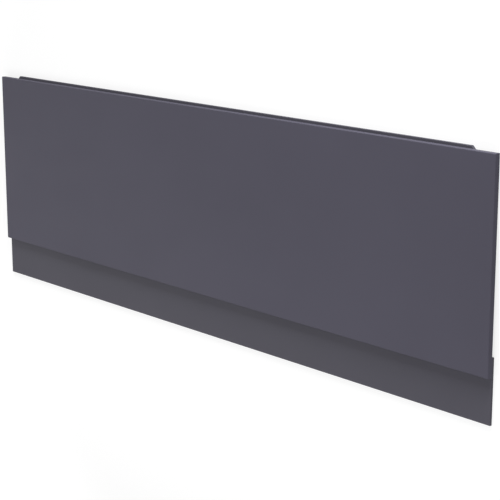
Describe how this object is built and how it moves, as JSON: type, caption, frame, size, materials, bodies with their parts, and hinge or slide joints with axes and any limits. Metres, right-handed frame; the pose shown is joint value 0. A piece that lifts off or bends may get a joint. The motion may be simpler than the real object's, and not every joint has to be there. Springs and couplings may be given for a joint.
{
  "type": "bath panel",
  "caption": "Flat grey bath front panel of board, with rounded front edges, a set-back plinth along its foot and a narrow locating rail behind its top edge.",
  "frame": {"origin": "middle of the whole outline, on the plane that the backs of the plinth and the rail lie on", "axes": "+X along the panel to its right-hand end seen from the front, +Y to the top edge that goes under the bath rim, +Z out of the front face"},
  "size_m": [1.7, 0.55, 0.018],
  "materials": {
    "facing_finish": "board wrapped in smooth satin grey foil",
    "backing_finish": "thin board wrapped in smooth satin grey foil"
  },
  "bodies": {
    "root": {"front_panel": "facing_finish", "plinth": "backing_finish", "top_rail": "backing_finish"}
  },
  "joints": []
}
